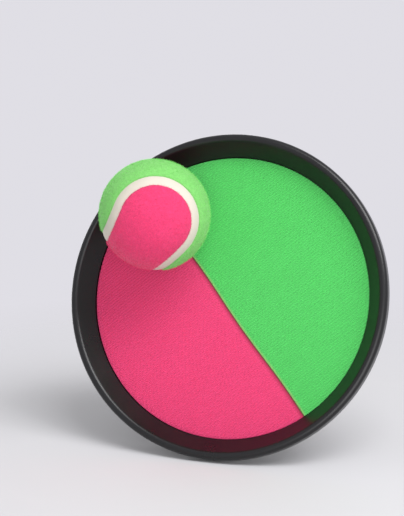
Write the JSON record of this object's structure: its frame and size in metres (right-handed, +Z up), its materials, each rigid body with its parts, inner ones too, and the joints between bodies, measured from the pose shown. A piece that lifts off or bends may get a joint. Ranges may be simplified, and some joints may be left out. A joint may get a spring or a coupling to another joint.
{
  "type": "hook and loop catch paddle",
  "caption": "Round catch paddle: a flared black dish with a two-colour hook fabric face, a hook and loop hand strap on its back and a felt ball that clings to the face.",
  "frame": {"origin": "middle of the palm face, on the back of the dish's floor", "axes": "+X to the right of the catching face, +Y out of the back, where the hand goes, +Z up"},
  "size_m": [0.185, 0.1143, 0.185],
  "materials": {
    "black_plastic": "glossy black moulded plastic",
    "glue": "hot-melt glue",
    "hardboard": "plain brown hardboard",
    "adhesive_film": "clear adhesive film",
    "pink_hook_fabric": "pink hook fabric in fine rows",
    "green_hook_fabric": "green hook fabric in fine rows",
    "webbing": "black woven webbing",
    "hook_tape": "black hook tape",
    "loop_tape": "black loop tape",
    "thread": "black sewing thread",
    "core_rubber": "grey rubber",
    "pink_felt": "short pink felt nap",
    "green_felt": "short lime green felt nap",
    "seam_rubber": "matt white rubber"
  },
  "bodies": {
    "paddle": {"dish": "black_plastic", "board_glue": "glue", "face_board": "hardboard", "pink_adhesive": "adhesive_film", "green_adhesive": "adhesive_film", "pink_face": "pink_hook_fabric", "green_face": "green_hook_fabric"},
    "outer_strap": {"outer_strap": "webbing", "hook_patch": "hook_tape", "outer_strap_stitches": "thread", "hook_patch_stitches": "thread"},
    "inner_strap": {"inner_strap": "webbing", "loop_patch": "loop_tape", "inner_strap_stitches": "thread", "loop_patch_stitches": "thread"},
    "ball": {"ball_core_upper": "core_rubber", "ball_core_lower": "core_rubber", "ball_pink_felt": "pink_felt", "ball_green_felt": "green_felt", "ball_seam": "seam_rubber"}
  },
  "joints": [
    {"name": "outer_strap_swing", "type": "hinge", "parent": "paddle", "child": "outer_strap", "pos_m": [0.05, -0.002, 0], "axis": [0, 0, -1], "range_deg": [0, 70]},
    {"name": "inner_strap_swing", "type": "hinge", "parent": "paddle", "child": "inner_strap", "pos_m": [-0.05, -0.002, 0], "axis": [0, 0, 1], "range_deg": [0, 28]},
    {"name": "ball_pull", "type": "slide", "parent": "paddle", "child": "ball", "axis": [0, -1, 0], "range_m": [0, 0.1]}
  ],
  "couplings": [
    {"joint": "inner_strap_swing", "follows": "outer_strap_swing", "ratio": 0.4}
  ]
}
